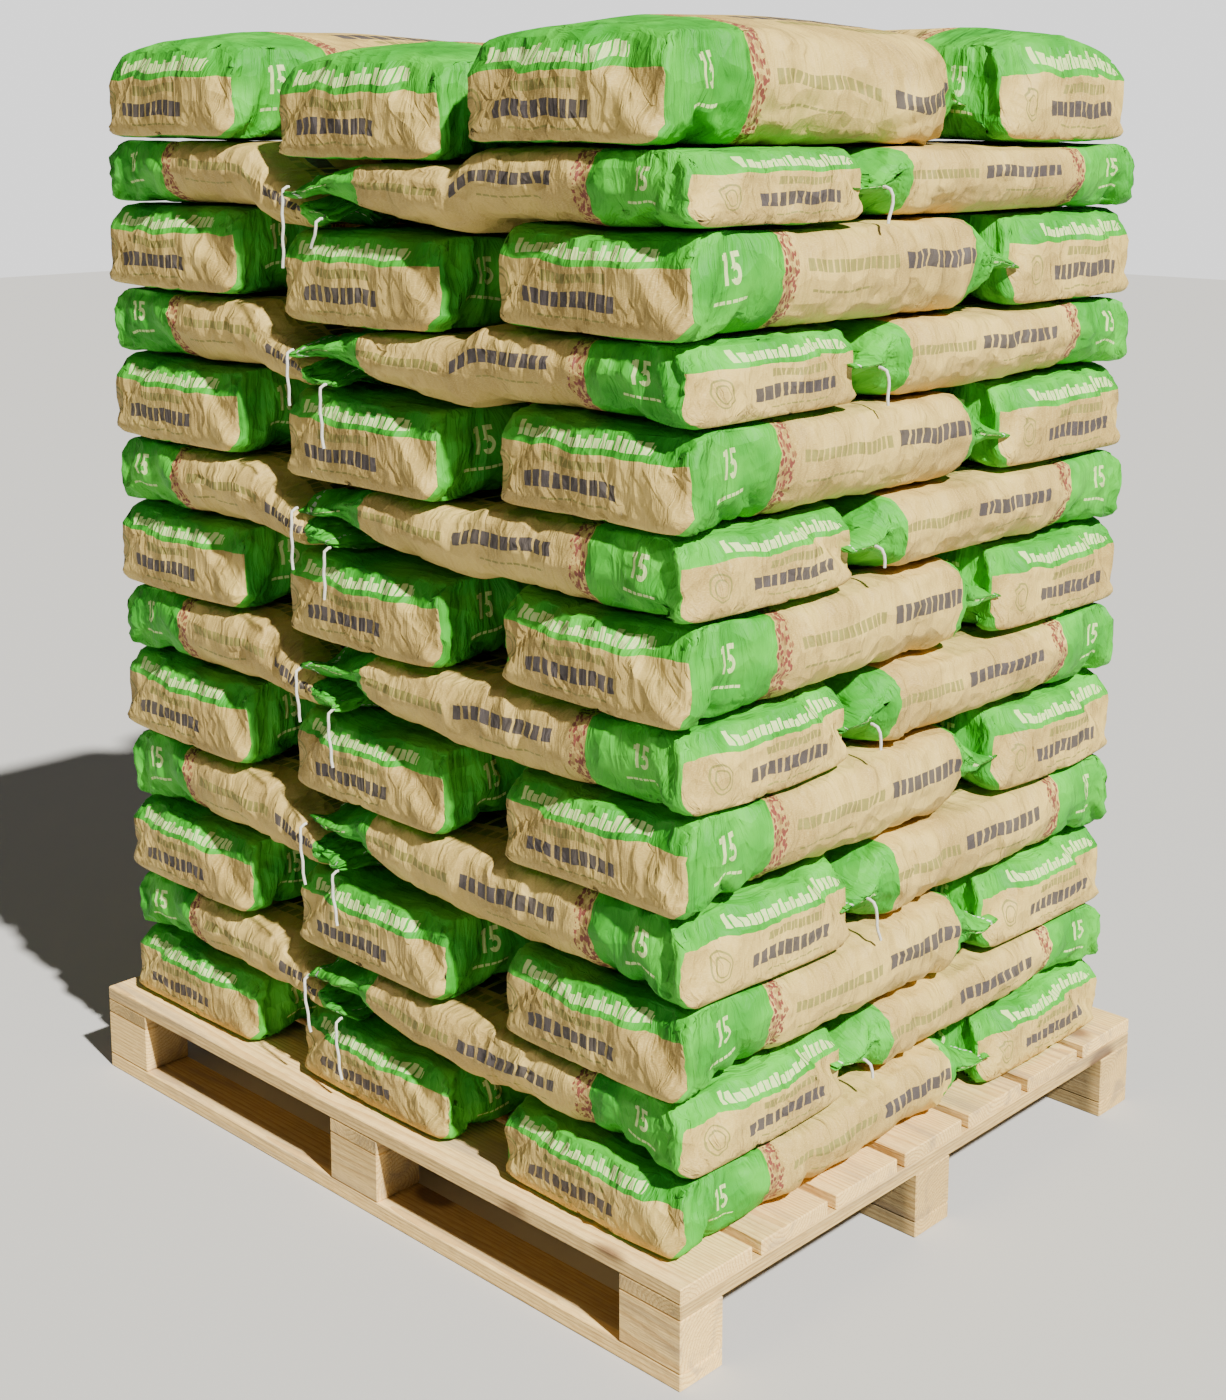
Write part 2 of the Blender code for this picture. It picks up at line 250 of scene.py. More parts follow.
PALE_ROWS = (
    ((0.082, -0.024), (0.030, 0.0016), 0.0100, 2.0),
    ((-0.080, -0.024), (0.030, 0.0016), 0.0100, 2.0),
    ((0.638, 0.004), (0.024, 0.0090), 0.0140, 4.0, 0.4),
    ((-0.638, 0.004), (0.024, 0.0090), 0.0140, 4.0, 0.4),
)

# Print on the flat end, in metres across it and up from its middle
END_NAVY_ROWS = (((-0.028, -0.0085), (0.083, 0.0080), 0.0166, 9.0),)
END_OLIVE_ROWS = (
    ((-0.022, 0.0125), (0.056, 0.0048), 0.0088, 2.0),
    ((-0.022, -0.0285), (0.060, 0.0015), 0.0140, 7.0),
)
END_PALE_ROWS = (((-0.020, 0.0405), (0.122, 0.0088), 0.0115, 4.0, 0.5),)
END_GREEN_START = 0.0245
END_RING_MIDDLE = (-0.163, -0.004)
END_RINGS = ((0.0165, 0.0012), (0.0105, 0.0010))
LENGTHWISE_END_SHIFT = 0.056

# How far each ink covers the paper
NAVY_COVER = 0.88
OLIVE_COVER = 0.82
PALE_COVER = 0.85
FLECK_COVER = 0.95

# Camera at the photograph's angle
IMAGE_HEIGHT = 1400
CAMERA_PLACE = (2.0406, -2.1025, 1.464)
CAMERA_HEADING = 134.04
CAMERA_PITCH = 10.02
FOCAL_PIXELS = 2042
OPTICAL_ROW = 476
SENSOR_WIDTH = 36

# Stage: a pale floor and backdrop, a weak fill and a hard sun on the short side
FLOOR_GREY = (0.48, 0.475, 0.46, 1)
BACKDROP_STRENGTH = 1.5
FILL_COLOUR = (1.0, 0.96, 0.90, 1)
FILL_STRENGTH = 0.14
SUN_STRENGTH = 10.5
SUN_ANGLE = 2
SUN_COLOUR = (1.0, 0.98, 0.93)
SUN_SIDE = Vector((0.68, -0.13, 0.70))


def deselect_all():
    bpy.ops.object.select_all(action="DESELECT")


# Camera

def build_camera():
    data = bpy.data.cameras.new("camera")
    camera = bpy.data.objects.new("camera", data)
    bpy.context.scene.collection.objects.link(camera)
    camera.location = CAMERA_PLACE
    camera.rotation_euler = (math.radians(90 - CAMERA_PITCH), 0, math.radians(CAMERA_HEADING - 90))
    data.sensor_width = SENSOR_WIDTH
    data.lens = SENSOR_WIDTH * FOCAL_PIXELS / IMAGE_HEIGHT
    data.shift_y = (OPTICAL_ROW - IMAGE_HEIGHT / 2) / IMAGE_HEIGHT
    data.clip_end = 50
    bpy.context.scene.camera = camera


# Materials

class Finish:
    """A material and short ways to add its nodes."""

    def __init__(self, name, roughness):
        self.material = bpy.data.materials.new(name)
        self.material.use_nodes = True
        self.tree = self.material.node_tree
        self.shader = self.tree.nodes["Principled BSDF"]
        self.shader.inputs["Roughness"].default_value = roughness
        self.shader.inputs["Specular IOR Level"].default_value = 0.35

    def plug(self, socket, value):
        if isinstance(value, bpy.types.NodeSocket):
            self.tree.links.new(value, socket)
        elif value is not None:
            socket.default_value = value

    def add(self, kind, **settings):
        node = self.tree.nodes.new(kind)
        for name, value in settings.items():
            setattr(node, name, value)
        return node

    def sum(self, operation, *values):
        node = self.add("ShaderNodeMath", operation=operation)
        for socket, value in zip(node.inputs, values):
            self.plug(socket, value)
        return node.outputs[0]

    def vector(self, operation, *values):
        node = self.add("ShaderNodeVectorMath", operation=operation)
        for socket, value in zip(node.inputs, values):
            self.plug(socket, value)
        return node.outputs[0]

    def mix(self, factor, first, second, blend="MIX"):
        node = self.add("ShaderNodeMix", data_type="RGBA", blend_type=blend)
        self.plug(node.inputs[0], factor)
        self.plug(node.inputs[6], first)
        self.plug(node.inputs[7], second)
        return node.outputs[2]

    def noise(self, place, scale, detail=3.0, distortion=0.0):
        node = self.add("ShaderNodeTexNoise")
        self.plug(node.inputs["Vector"], place)
        node.inputs["Scale"].default_value = scale
        node.inputs["Detail"].default_value = detail
        node.inputs["Distortion"].default_value = distortion
        return node.outputs["Fac"]

    def stretch(self, place, scales):
        return self.vector("MULTIPLY", place, scales)

    def threefold(self, value):
        """One value in all three places of a vector."""
        node = self.add("ShaderNodeCombineXYZ")
        for socket in node.inputs:
            self.plug(socket, value)
        return node.outputs[0]

    def parts(self, vector):
        """The three values of a vector."""
        node = self.add("ShaderNodeSeparateXYZ")
        self.plug(node.inputs[0], vector)
        return node.outputs[0], node.outputs[1], node.outputs[2]

    def object_place(self):
        return self.add("ShaderNodeTexCoord").outputs["Object"]

    def cells(self, place, scale):
        """A texture of cells: the distance from each cell's middle, and a colour for each."""
        node = self.add("ShaderNodeTexVoronoi", feature="F1")
        self.plug(node.inputs["Vector"], place)
        node.inputs["Scale"].default_value = scale
        return node.outputs["Distance"], node.outputs["Color"]

    def away_from(self, across, up, middle):
        """How far a place lies from the middle."""
        squares = []
        for value, centre in zip((across, up), middle):
            gap = self.sum("SUBTRACT", value, centre)
            squares.append(self.sum("MULTIPLY", gap, gap))
        return self.sum("SQRT", self.sum("ADD", *squares))

    def steps(self, value, low, high, low_out=0.0, high_out=1.0):
        """An eased rise from low_out at low to high_out at high."""
        node = self.add("ShaderNodeMapRange", interpolation_type="SMOOTHSTEP")
        self.plug(node.inputs["Value"], value)
        for name, number in zip(("From Min", "From Max", "To Min", "To Max"),
                                (low, high, low_out, high_out)):
            node.inputs[name].default_value = number
        return node.outputs["Result"]

    def band(self, value, middle, half):
        """1 where value lies within half of middle, else 0."""
        return self.sum("COMPARE", value, middle, half)

    def any_of(self, masks):
        found = masks[0]
        for mask in masks[1:]:
            found = self.sum("MAXIMUM", found, mask)
        return found

    def box(self, across, up, middle, half):
        return self.sum("MULTIPLY", self.band(across, middle[0], half[0]),
                        self.band(up, middle[1], half[1]))

    def row_of_blocks(self, across, up, middle, half, pitch, seed, ragged=0.0):
        """A printed row of plain blocks of unlike widths, and of unlike heights where ragged."""
        place = self.sum("DIVIDE", self.sum("SUBTRACT", across, middle[0] - half[0]), pitch)
        cell = self.sum("FLOOR", place)
        share = self.sum("FRACT", place)
        random = self.add("ShaderNodeTexWhiteNoise", noise_dimensions="1D")
        self.plug(random.inputs["W"], self.sum("ADD", cell, seed))
        width = self.sum("MULTIPLY_ADD", random.outputs["Value"], 0.11, 0.335)
        block = self.sum("COMPARE", share, 0.5, width)
        if ragged:
            cut = self.sum("MULTIPLY", random.outputs["Value"], 2 * half[1] * ragged)
            low_enough = self.sum("LESS_THAN", up, self.sum("SUBTRACT", middle[1] + half[1], cut))
            block = self.sum("MULTIPLY", block, low_enough)
        return self.sum("MULTIPLY", block, self.box(across, up, middle, half))

    def rows(self, across, up, rows):
        return [self.row_of_blocks(across, up, *row) for row in rows]

    def ink(self, masks, cover, under, colour):
        """Prints a colour over another where any of the masks lies."""
        return self.mix(self.sum("MULTIPLY", self.any_of(masks), cover), under, colour)

    def bump(self, heights):
        """Stacks (height, distance) pairs into the shader's normal."""
        normal = None
        for height, distance in heights:
            node = self.add("ShaderNodeBump")
            node.inputs["Strength"].default_value = 1.0
            node.inputs["Distance"].default_value = distance
            self.plug(node.inputs["Height"], height)
            if normal is not None:
                self.plug(node.inputs["Normal"], normal)
            normal = node.outputs["Normal"]
        self.plug(self.shader.inputs["Normal"], normal)


# Colours of the paper, its inks and the threads
KRAFT = (0.64, 0.455, 0.125, 1)
KRAFT_DARK = (0.42, 0.280, 0.075, 1)
KRAFT_PALE = (0.80, 0.630, 0.220, 1)
GREEN = (0.024, 0.300, 0.010, 1)
GREEN_PALE = (0.066, 0.480, 0.022, 1)
NAVY = (0.018, 0.022, 0.050, 1)
OLIVE = (0.215, 0.205, 0.045, 1)
PALE_INK = (0.640, 0.780, 0.300, 1)
FLECK_RED = (0.190, 0.035, 0.030, 1)
THREAD_WHITE = (0.72, 0.70, 0.62, 1)
THREAD_LIGHT = (0.74, 0.72, 0.65, 1)
THREAD_SHADED = (0.52, 0.50, 0.42, 1)


def paper_colour(finish, place, uv):
    """Kraft paper: fibres, cloudy tone and pale rubbed patches."""
    cloud = finish.noise(place, 9.0, 4.0)
    colour = finish.mix(finish.steps(cloud, 0.35, 0.68), KRAFT_DARK, KRAFT)
    fibres = finish.noise(finish.stretch(uv, (260.0, 1500.0, 1.0)), 1.0, 3.0)
    colour = finish.mix(finish.steps(fibres, 0.42, 0.70, 0.0, 0.45), colour, KRAFT_PALE)
    return colour


def green_print(finish, place):
    tone = finish.noise(place, 12.0, 3.0)
    return finish.mix(finish.steps(tone, 0.35, 0.70), GREEN, GREEN_PALE)


def paper_bump(finish, place, uv):
    """Folds across the sack, crumpled facets, creases and grain."""
    bend = finish.threefold(finish.noise(place, 9.0, 2.0))
    drawn = finish.stretch(uv, (26.0, 8.0, 1.0))
    bent = finish.vector("ADD", drawn, finish.stretch(bend, (1.6, 1.6, 0.0)))
    folds, _ = finish.cells(bent, 1.0)
    pushed = finish.vector("ADD", place, finish.stretch(bend, (0.05, 0.05, 0.05)))
    crumple, _ = finish.cells(pushed, 30.0)
    across = finish.noise(finish.stretch(uv, (34.0, 9.0, 1.0)), 1.0, 4.0, 1.2)
    crease = finish.sum("ABSOLUTE", finish.sum("SUBTRACT", across, 0.5))
    grain = finish.noise(place, 900.0, 2.0)
    finish.bump([(folds, 0.010), (crumple, 0.006), (crease, 0.010), (grain, 0.0003)])


def add_number(finish, across, up, middle, height):
    """The plain number 15, from bars and a ring, drawn at a height of 1 and then scaled."""
    x = finish.sum("DIVIDE", finish.sum("SUBTRACT", across, middle[0]), height)
    y = finish.sum("DIVIDE", finish.sum("SUBTRACT", up, middle[1]), height)
    stem = finish.box(x, y, (-0.36, 0.0), (0.105, 0.5))
    flag = finish.box(x, y, (-0.51, 0.36), (0.08, 0.09))
    top = finish.box(x, y, (0.27, 0.410), (0.25, 0.090))
    back = finish.box(x, y, (0.11, 0.25), (0.090, 0.22))
    ring = finish.band(finish.away_from(x, y, (0.22, -0.19)), 0.230, 0.098)
    opening = finish.box(x, y, (-0.03, -0.17), (0.14, 0.16))
    bowl = finish.sum("MULTIPLY", ring, finish.sum("SUBTRACT", 1.0, opening))
    return finish.any_of([stem, flag, top, back, bowl])


def side_finish():
    """The paper round a sack: green ends, a column of flecks, a number and printed rows.

    The print map runs along the sack in metres, negative on the side that is read towards the
    flat end, and up from the side's middle.
    """
    finish = Finish("printed_sack_paper", 0.62)
    uv = finish.add("ShaderNodeUVMap", uv_map="print").outputs["UV"]
    place = finish.object_place()
    reading, up, _ = finish.parts(uv)
    along = finish.sum("ABSOLUTE", reading)
    colour = paper_colour(finish, place, uv)
    colour = finish.ink(finish.rows(reading, up, OLIVE_ROWS), OLIVE_COVER, colour, OLIVE)
    colour = finish.ink(finish.rows(reading, up, NAVY_ROWS), NAVY_COVER, colour, NAVY)

    dot, dot_colour = finish.cells(finish.stretch(uv, (1.0, 0.7, 1.0)), FLECK_SCALE)
    scatter = finish.sum("MULTIPLY_ADD", finish.noise(uv, 70.0, 2.0), FLECK_SCATTER,
                         finish.sum("SUBTRACT", along, FLECK_SCATTER / 2))
    in_column = finish.band(scatter, GREEN_BAND + FLECK_BAND / 2, FLECK_BAND / 2)
    flecks = finish.sum("MULTIPLY", in_column, finish.sum("LESS_THAN", dot, FLECK_SIZE))
    split_colour = finish.add("ShaderNodeSeparateColor")
    finish.plug(split_colour.inputs[0], dot_colour)
    darker = finish.steps(split_colour.outputs[0], 0.5, 1.0)
    colour = finish.ink([flecks], FLECK_COVER, colour, finish.mix(darker, FLECK_RED, KRAFT_DARK))

    flat_green = finish.sum("LESS_THAN", along, GREEN_BAND)
    sewn_green = finish.sum("GREATER_THAN", along, SEWN_GREEN_START)
    colour = finish.mix(finish.any_of([flat_green, sewn_green]), colour,
                        green_print(finish, place))
    numbers = [add_number(finish, reading, up, middle, NUMBER_HEIGHT) for middle in NUMBER_PLACES]
    pale = numbers + finish.rows(reading, up, PALE_ROWS)
    colour = finish.ink(pale, PALE_COVER, colour, PALE_INK)
    stitches = finish.box(along, finish.sum("FRACT", finish.sum("DIVIDE", up, STITCH_PITCH)),
                          (0.674, 0.35), (0.0016, 0.30))
    colour = finish.mix(stitches, colour, THREAD_WHITE)
    finish.plug(finish.shader.inputs["Base Color"], colour)
    paper_bump(finish, place, uv)
    return finish.material


def end_finish():
    """The flat end: a green strip with a pale row, and kraft below with printed rows and a ring."""
    finish = Finish("printed_sack_end", 0.60)
    uv = finish.add("ShaderNodeUVMap", uv_map="print").outputs["UV"]
    place = finish.object_place()
    across, up, _ = finish.parts(uv)
    colour = paper_colour(finish, place, uv)
    from_middle = finish.away_from(across, up, END_RING_MIDDLE)
    rings = [finish.band(from_middle, radius, half) for radius, half in END_RINGS]
    olive = finish.rows(across, up, END_OLIVE_ROWS) + rings
    colour = finish.ink(olive, OLIVE_COVER, colour, OLIVE)
    colour = finish.ink(finish.rows(across, up, END_NAVY_ROWS), NAVY_COVER, colour, NAVY)
    colour = finish.mix(finish.sum("GREATER_THAN", up, END_GREEN_START), colour,
                        green_print(finish, place))
    colour = finish.ink(finish.rows(across, up, END_PALE_ROWS), PALE_COVER, colour, PALE_INK)
    finish.plug(finish.shader.inputs["Base Color"], colour)
    paper_bump(finish, place, uv)
    return finish.material


def thread_finish():
    finish = Finish("closing_thread_cotton", 0.85)
    place = finish.object_place()
    tone = finish.noise(place, 300.0, 2.0)
    finish.plug(finish.shader.inputs["Base Color"],
                finish.mix(tone, THREAD_SHADED, THREAD_LIGHT))
    finish.bump([(finish.noise(place, 700.0, 2.0), 0.0006)])
    return finish.material


# Pine: its colours, the painted shade inside the pallet and on its inner and back pieces, its rings
# and how its pieces' tones differ
PINE_PALE = (0.93, 0.66, 0.26, 1)
PINE_GOLD = (0.57, 0.33, 0.10, 1)
PINE_KNOT = (0.16, 0.075, 0.035, 1)
PINE_GREY = (0.36, 0.27, 0.18, 1)
INNER_PINE_SHADE = 0.75
PINE_SHADED = (0.42, 0.44, 0.50, 1)
PALLET_HALF_SIZE = (0.600, 0.500)
DECK_UNDERSIDE = 0.1092
SHADED_EDGE = (-0.025, -0.004)
RING_PITCH = 1 / 190
RING_WANDER = 0.030
PITH_BESIDE = 0.03
PINE_TONES = (0.90, 1.06)


def pine_finish(name, grain_axis, pith, tone_and_inner_shade):
    """Sawn pine: rings round a pith that runs along the grain, knots, grey dirt, and a darker
    inside of the pallet, as its depth is in shade."""
    finish = Finish(name, 0.78)
    place = finish.object_place()
    axes = finish.parts(place)
    squeeze = [1.0, 1.0, 1.0]
    squeeze[grain_axis] = 0.08
    long_place = finish.stretch(place, squeeze)
    across, up = [value for axis, value in enumerate(axes) if axis != grain_axis]
    radius = finish.sum("MULTIPLY_ADD", finish.noise(long_place, 14.0, 3.0), RING_WANDER,
                        finish.away_from(across, up, pith))
    rings = finish.sum("FRACT", finish.sum("DIVIDE", radius, RING_PITCH))
    late_wood = finish.steps(rings, 0.45, 0.95)
    colour = finish.mix(finish.sum("MULTIPLY", late_wood, 0.60), PINE_PALE, PINE_GOLD)
    fibres = finish.noise(long_place, 420.0, 2.0)
    colour = finish.mix(finish.steps(fibres, 0.40, 0.75, 0.0, 0.50), colour, PINE_GOLD)
    knot_squeeze = [1.0, 1.0, 1.0]
    knot_squeeze[grain_axis] = 0.6
    from_knot, _ = finish.cells(finish.stretch(place, knot_squeeze), 7.0)
    knot = finish.steps(from_knot, 0.10, 0.20, 1.0, 0.0)
    colour = finish.mix(finish.sum("MULTIPLY", knot, 0.85), colour, PINE_KNOT)
    dirt = finish.noise(long_place, 22.0, 5.0, 1.0)
    colour = finish.mix(finish.steps(dirt, 0.48, 0.70, 0.0, 0.60), colour, PINE_GREY)
    # Each piece's random tone, times painted shade on the inner and back pieces
    colour = finish.mix(1.0, colour, (tone_and_inner_shade, tone_and_inner_shade * 0.985, tone_and_inner_shade * 0.96, 1), "MULTIPLY")

    from_edge = finish.sum("MAXIMUM", *[
        finish.sum("SUBTRACT", finish.sum("ABSOLUTE", axes[axis]), half)
        for axis, half in enumerate(PALLET_HALF_SIZE)])
    below_deck = finish.sum("LESS_THAN", axes[2], DECK_UNDERSIDE)
    inside = finish.sum("MULTIPLY", below_deck, finish.steps(from_edge, *SHADED_EDGE, 1.0, 0.0))
    colour = finish.mix(inside, colour, finish.mix(1.0, colour, PINE_SHADED, "MULTIPLY"))
    finish.plug(finish.shader.inputs["Base Color"], colour)
    saw = finish.noise(place, 60.0, 4.0)
    finish.bump([(rings, 0.0007), (fibres, 0.0010), (saw, 0.0012)])
    return finish.material


def finish_pallet():
    """Grain along each piece, each with its own pith and tone, and painted shade on the inner and
    back pieces.
    """
    rng = np.random.default_rng(11)
    for name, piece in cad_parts.items():
        if name.startswith(("sack_layer", "thread_tail")):
            continue
        low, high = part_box(name)
        size = [high[axis] - low[axis] for axis in range(3)]
        grain_axis = 1 if name.startswith("cross_board") else 0
        cross_axes = [axis for axis in range(3) if axis != grain_axis]
        pith = [(low[axis] + high[axis]) / 2 + rng.uniform(-0.5, 0.5) * size[axis]
                for axis in cross_axes]
        pith[1] -= rng.choice((-1, 1)) * PITH_BESIDE
        tone = rng.uniform(*PINE_TONES)
        # Inner and back pieces are darkened as painted shade
        if "middle" in name or "back" in name or "cross_board" in name:
            tone *= INNER_PINE_SHADE
        piece.data.materials.clear()
        piece.data.materials.append(pine_finish(f"pine_{name}", grain_axis, pith, tone))


# Threads

def thread_route(start, outward, sideways, radius, length, drift):
    """Points down a free thread end: straight out of the seam, over a round bend, then hanging."""
    bend = radius * math.pi / 2
    free = length - THREAD_LEAD
    count = max(4, round(free / THREAD_POINT_SPACING) + 1)
    points = [start]
    for index in range(count):
        along = free * index / (count - 1)
        turned = min(along, bend) / radius
        hanging = max(0.0, along - bend)
        out = THREAD_LEAD + radius * math.sin(turned)
        down = radius * (1.0 - math.cos(turned)) + hanging
        aside = drift * (hanging / (free - bend)) ** DRIFT_POWER
        aside += THREAD_CURL * math.sin(2 * math.pi * hanging / THREAD_CURL_PITCH)
        points.append(start + out * outward + aside * sideways - Vector((0.0, 0.0, down)))
    return points


def hang_thread(name, points, finish):
    curve = bpy.data.curves.new(name, "CURVE")
    curve.dimensions = "3D"
    curve.bevel_depth = THREAD_DIAMETER / 2
    curve.bevel_resolution = 3
    curve.use_fill_caps = True
    spline = curve.splines.new("POLY")
    spline.points.add(len(points) - 1)
    for spline_point, point in zip(spline.points, points):
        spline_point.co = (*point, 1.0)
    tail = bpy.data.objects.new(name, curve)
    bpy.context.scene.collection.objects.link(tail)
    curve.materials.append(finish)
    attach(tail, "root")
    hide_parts(name.replace("loose_thread", "thread_tail"))


def build_threads(finish):
    front_edge = STACK_WIDTH / 2 - LENGTHWISE_HALF_WIDTH + LENGTHWISE_OUTWARD_SIDE[-1] + GAP
    side_edge = CROSSWISE_PITCH + SIDE_SEAM_OUTWARD + GAP
    behind_front_row = -STACK_WIDTH / 2 + 2 * LENGTHWISE_HALF_WIDTH
    upper_tip = STACK_LENGTH / 2 - UPPER_SECTIONS[-1][0]
    tucked_tip = TUCKED_SECTIONS[-1][0] - STACK_LENGTH / 2
    ahead, right, back = Vector((0, -1, 0)), Vector((1, 0, 0)), Vector((0, 1, 0))
    for number in range(2, LAYER_COUNT, 2):
        bottom, top = layer_level(number), layer_level(number + 1) - GAP
        under, over = bottom - MIDDLE_SAGS[number - 1], top - MIDDLE_SAGS[number]
        upper_seam, tucked_seam = [
            under + (sections[-1][1] + sections[-1][2]) / 2 * (over - under)
            for sections in (UPPER_SECTIONS, TUCKED_SECTIONS)]
        side_seam = bottom + SIDE_SEAM_LEVEL * (top - bottom)
        upper_start = Vector((upper_tip + THREAD_INSET, -front_edge, upper_seam))
        tucked_start = Vector((tucked_tip - THREAD_INSET, -front_edge, tucked_seam))
        side_start = Vector((side_edge, behind_front_row + THREAD_INSET, side_seam))
        tails = (
            ("upper", UPPER_TAILS, upper_start, ahead, right, FRONT_THREAD_BEND),
            ("tucked", TUCKED_TAILS, tucked_start, ahead, right, FRONT_THREAD_BEND),
            ("side", SIDE_TAILS, side_start, right, back, SIDE_THREAD_BEND),
        )
        for kind, lengths, start, outward, sideways, radius in tails:
            length, drift = lengths[number]
            points = thread_route(start, outward, sideways, radius, length, drift)
            hang_thread(f"loose_thread_{number:02d}_{kind}", points, finish)


# Sacks

def smooth_step(values):
    values = np.clip(values, 0.0, 1.0)
    return values * values * (3.0 - 2.0 * values)


def read_points(mesh):
    flat = np.empty(len(mesh.vertices) * 3)
    mesh.vertices.foreach_get("co", flat)
    return flat.reshape(-1, 3)


def write_points(mesh, points):
    mesh.vertices.foreach_set("co", points.ravel())
    mesh.update()


def waves(points, seed, wavelength, count=7):
    """Smooth noise between about -1 and 1: a sum of sines in seeded directions."""
    rng = np.random.default_rng(seed)
    total = np.zeros(len(points))
    for _ in range(count):
        direction = rng.normal(size=3)
        direction *= rng.uniform(0.7, 1.4) * 2 * math.pi / (wavelength * np.linalg.norm(direction))
        total += np.sin(points @ direction + rng.uniform(0, 2 * math.pi))
    return total / math.sqrt(count)


def moving_average(values, reach):
    """Each value's mean with as many neighbours as reach on both sides."""
    width = 2 * reach + 1
    return np.convolve(np.pad(values, reach, mode="edge"), np.ones(width) / width, mode="valid")


def outward(x):
    """Which way a sack's sides face, fading to nothing at its centre line."""
    return np.sign(x) * np.clip(np.abs(x) / CENTRE_HALF_WIDTH, 0, 1)


def empty_sack():
    """A closed box of paper cells, its flat end at Y=0, with its print map."""
    deselect_all()
    bpy.ops.mesh.primitive_cube_add(size=1.0, location=(0.0, 0.5, 0.5))
    sack = bpy.context.object
    sack.name = "empty_sack"
    bpy.ops.object.transform_apply(location=True, rotation=False, scale=False)
    sack.scale = (SACK_WIDTH, SACK_LENGTH, SACK_HEIGHT)
    bpy.ops.object.transform_apply(location=False, rotation=False, scale=True)
    bpy.ops.object.mode_set(mode="EDIT")
    bpy.ops.mesh.select_mode(type="EDGE")
    bpy.ops.mesh.select_all(action="DESELECT")
    bpy.ops.object.mode_set(mode="OBJECT")
    for axis, count in enumerate(CELLS):
        mesh = sack.data
        for edge in mesh.edges:
            span = mesh.vertices[edge.vertices[1]].co - mesh.vertices[edge.vertices[0]].co
            edge.select = abs(span[axis]) > 0.9 * span.length
        bpy.ops.object.mode_set(mode="EDIT")
        bpy.ops.mesh.subdivide(number_cuts=count - 1)
        bpy.ops.mesh.select_all(action="DESELECT")
        bpy.ops.object.mode_set(mode="OBJECT")
    add_print_map(sack.data)
    sack.data.shade_smooth()
    return sack


def read_array(items, name, width, kind=float):
    """One attribute of a mesh's items as rows."""
    flat = np.empty(len(items) * width, dtype=kind)
    items.foreach_get(name, flat)
    return flat.reshape(-1, width) if width > 1 else flat


def add_print_map(mesh):
    """Metres along and up each side, or across and up the flat end. The end is material 1."""
    while mesh.uv_layers:
        mesh.uv_layers.remove(mesh.uv_layers[0])
    mesh.uv_layers.new(name="print")
    half_width, half_height = SACK_WIDTH / 2, SACK_HEIGHT / 2
    normals = read_array(mesh.polygons, "normal", 3)
    middles = read_array(mesh.polygons, "center", 3)
    totals = read_array(mesh.polygons, "loop_total", 1, np.int32)
    vertices = read_array(mesh.loops, "vertex_index", 1, np.int32)
    face_of_loop = np.repeat(np.arange(len(totals)), totals)
    x, y, z = read_points(mesh)[vertices].T
    normal = normals[face_of_loop]
    side = np.where(middles[face_of_loop, 0] > 0, 1.0, -1.0)
    on_flat = half_height + half_width - np.abs(x)
    up = np.where(np.abs(normal[:, 2]) > 0.9, np.sign(normal[:, 2]) * on_flat, z - half_height)
    at_end = normal[:, 1] < -0.9
    rows = np.column_stack((np.where(at_end, x, side * y), up))
    mesh.uv_layers["print"].data.foreach_set("uv", rows.ravel())
    end_faces = (normals[:, 1] < -0.9).astype(np.int32)
    mesh.polygons.foreach_set("material_index", end_faces)


def folded_form(points):
    """The blank with rounded long edges, an eased end rim and a flat seam at its far end."""
    x, y, z = points.T
    narrowing = smooth_step((y - TAPER_START) / (SEAM_START - TAPER_START))
    thickness = SACK_HEIGHT * (1 - narrowing) + SEAM_THICKNESS * narrowing
    middle = SACK_HEIGHT * (0.5 * (1 - narrowing) + SEAM_SHARE * narrowing)
    radius = np.minimum(EDGE_RADIUS, thickness * 0.49)
    up = (z / SACK_HEIGHT - 0.5) * thickness
    inner_x = np.clip(x, -(SACK_WIDTH / 2 - radius), SACK_WIDTH / 2 - radius)
    inner_up = np.clip(up, -(thickness / 2 - radius), thickness / 2 - radius)
    over_x, over_up = x - inner_x, up - inner_up
    reach = np.hypot(over_x, over_up)
    share = np.maximum(np.abs(over_x), np.abs(over_up)) / np.maximum(reach, 1e-9)
    share = np.where(reach > 1e-9, share, 1.0)
    form = np.column_stack((inner_x + over_x * share, y, middle + inner_up + over_up * share))
    rim = 1 - np.sqrt(1 - np.clip(1 - y / RIM_LENGTH, 0, 1) ** 2)
    form[:, 0] *= 1 - 0.030 * rim
    form[:, 2] -= (form[:, 2] - SACK_HEIGHT / 2) * 0.08 * rim
    return form


def collision_plate(level):
    deselect_all()
    bpy.ops.mesh.primitive_plane_add(size=3.0, location=(0, 0, level))
    plate = bpy.context.object
    plate.modifiers.new("plate", "COLLISION")
    plate.collision.thickness_outer = 0.001
    plate.collision.thickness_inner = 0.05
    return plate


def number_place(sack, form):
    """A group of the places round the printed numbers, where the paper lies taut."""
    group = sack.vertex_groups.new(name="number_place")
    level = np.abs(form[:, 2] - SACK_HEIGHT / 2)
    beside = np.abs(form[:, 1] - TAUT_MIDDLE)
    taut = smooth_step((TAUT_HEIGHT[0] - level) / TAUT_HEIGHT[1])
    taut *= smooth_step((TAUT_LENGTH[0] - beside) / TAUT_LENGTH[1])
    taut *= np.abs(form[:, 0]) > SIDE_START
    for index in np.nonzero(taut)[0]:
        group.add([int(index)], float(taut[index]), "REPLACE")
    return group.name


